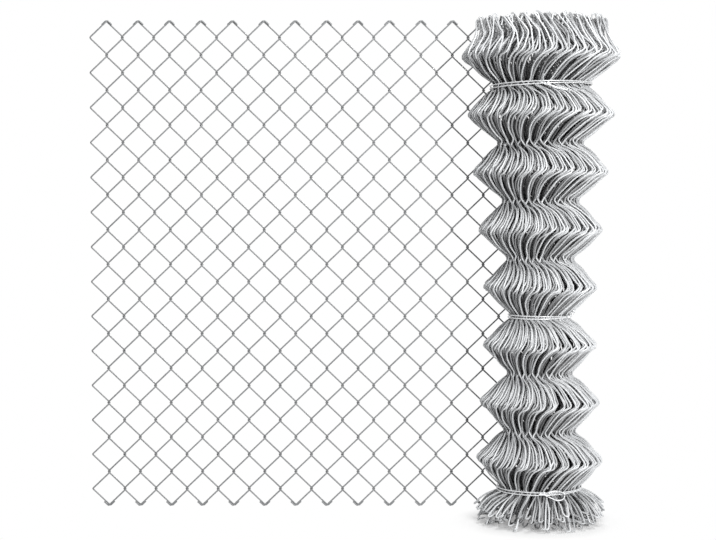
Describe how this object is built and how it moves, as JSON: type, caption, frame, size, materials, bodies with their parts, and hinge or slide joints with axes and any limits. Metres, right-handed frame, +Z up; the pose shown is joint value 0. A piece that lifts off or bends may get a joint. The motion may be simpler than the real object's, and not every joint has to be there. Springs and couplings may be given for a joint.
{
  "type": "roll of wire fencing",
  "caption": "Compact roll of galvanised chain-link fence standing on its end, held by twisted tie wires, with a length of diamond mesh drawn off beside it.",
  "frame": {"origin": "on the axis of the roll, at the floor that the roll and the drawn-off mesh stand on", "axes": "+Z up along the roll's axis, +X to the right of the picture's view, the drawn-off mesh runs to -X behind the roll, and the view looks along +Y"},
  "size_m": [1.0615, 0.3168, 1.0002],
  "materials": {
    "galvanised_wire": "hot-dip galvanised, satin grey",
    "tie_wire": "bright galvanised tie wire"
  },
  "bodies": {
    "root": {"mesh_roll": "galvanised_wire", "tie_wire_top": "tie_wire", "tie_wire_middle": "tie_wire", "tie_wire_bottom": "tie_wire", "mesh_wire_01": "galvanised_wire", "mesh_wire_02": "galvanised_wire", "mesh_wire_03": "galvanised_wire", "mesh_wire_04": "galvanised_wire", "mesh_wire_05": "galvanised_wire", "mesh_wire_06": "galvanised_wire", "mesh_wire_07": "galvanised_wire", "mesh_wire_08": "galvanised_wire", "mesh_wire_09": "galvanised_wire", "mesh_wire_10": "galvanised_wire", "mesh_wire_11": "galvanised_wire", "mesh_wire_12": "galvanised_wire", "mesh_wire_13": "galvanised_wire", "mesh_wire_14": "galvanised_wire", "mesh_wire_15": "galvanised_wire", "mesh_wire_16": "galvanised_wire", "mesh_wire_17": "galvanised_wire", "mesh_wire_18": "galvanised_wire", "mesh_wire_19": "galvanised_wire", "mesh_wire_20": "galvanised_wire", "mesh_wire_21": "galvanised_wire", "mesh_wire_22": "galvanised_wire", "mesh_wire_23": "galvanised_wire", "mesh_wire_24": "galvanised_wire", "mesh_wire_25": "galvanised_wire", "mesh_wire_26": "galvanised_wire", "mesh_wire_27": "galvanised_wire", "mesh_wire_28": "galvanised_wire", "mesh_wire_29": "galvanised_wire"}
  },
  "joints": []
}
